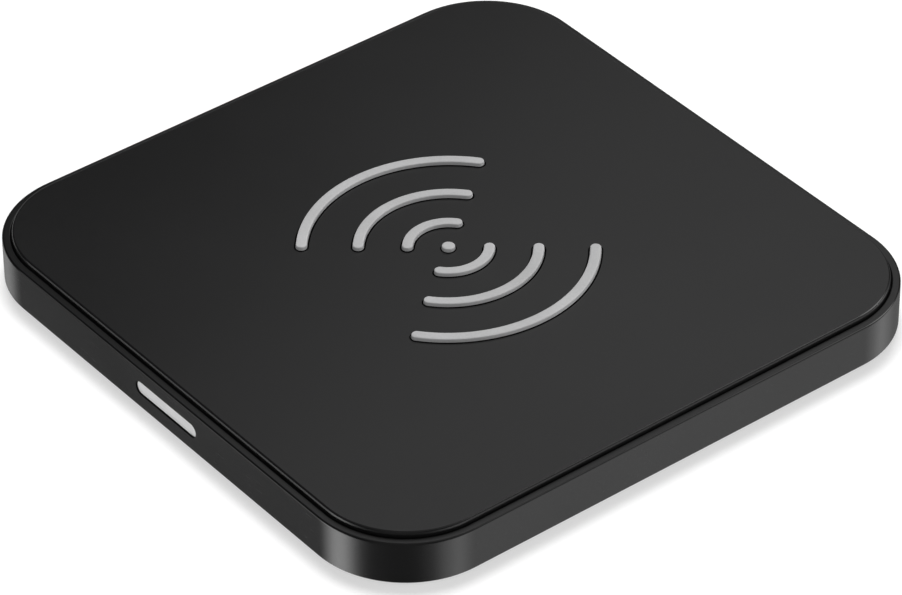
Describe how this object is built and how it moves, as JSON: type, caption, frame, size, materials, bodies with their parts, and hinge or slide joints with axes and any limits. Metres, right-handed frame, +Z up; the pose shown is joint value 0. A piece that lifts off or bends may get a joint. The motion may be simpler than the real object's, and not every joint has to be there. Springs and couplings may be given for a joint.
{
  "type": "wireless charging pad",
  "caption": "Square black wireless charging pad with rounded corners, a let-in top plate, raised grey arc grips, a light window and a USB-C socket.",
  "frame": {"origin": "centre of the pad in plan, on the surface that its feet stand on", "axes": "+Z up out of the charging face; -Y is the wall with the light window, +Y the wall with the USB-C socket; the arcs lie on -X and +X of the centre"},
  "size_m": [0.09, 0.09, 0.0077],
  "materials": {
    "casing_black": "satin moulded plastic",
    "plate_black": "fine matt moulded plastic",
    "grip_grey": "matt silicone",
    "light_guide_white": "milky diffuser",
    "cover_black": "spark-eroded texture",
    "foot_rubber": "matt",
    "screw_steel": "black zinc",
    "tape": "adhesive film",
    "foam_black": "closed-cell foam",
    "led_package": "moulded",
    "board_green": "solder mask",
    "usb_steel": "nickel plated",
    "usb_insulator": "moulded",
    "contact_gold": "gold plated",
    "chip_epoxy": "moulded epoxy",
    "capacitor_ceramic": "fired",
    "inductor_core": "pressed powder",
    "crystal_can": "plated lid",
    "resistor_chip": "fired",
    "thermistor_chip": "fired",
    "coil_copper": "enamelled copper litz",
    "ferrite_grey": "sintered",
    "carrier_plastic": "moulded",
    "thermal_silicone": "soft",
    "spreader_aluminium": "sheet"
  },
  "bodies": {
    "root": {"bottom_cover": "cover_black", "charging_coil": "coil_copper", "chip_resistors": "resistor_chip", "coil_adhesive": "tape", "coil_carrier": "carrier_plastic", "controller_ic": "chip_epoxy", "crystal": "crystal_can", "ferrite_sheet": "ferrite_grey", "grip_arc_inner_left": "grip_grey", "grip_arc_inner_right": "grip_grey", "grip_arc_middle_left": "grip_grey", "grip_arc_middle_right": "grip_grey", "grip_arc_outer_left": "grip_grey", "grip_arc_outer_right": "grip_grey", "grip_dot": "grip_grey", "heat_spreader": "spreader_aluminium", "housing_frame": "casing_black", "housing_screws": "screw_steel", "input_capacitors": "capacitor_ceramic", "led_light_guide": "light_guide_white", "led_light_shield": "foam_black", "main_pcb": "board_green", "ntc_thermistor": "thermistor_chip", "plate_adhesive": "tape", "power_inductor": "inductor_core", "power_mosfets": "chip_epoxy", "resonant_capacitors": "capacitor_ceramic", "rubber_feet": "foot_rubber", "status_leds": "led_package", "thermal_pad": "thermal_silicone", "top_plate": "plate_black", "usb_c_contacts": "contact_gold", "usb_c_shell": "usb_steel", "usb_c_tongue": "usb_insulator"}
  },
  "joints": []
}
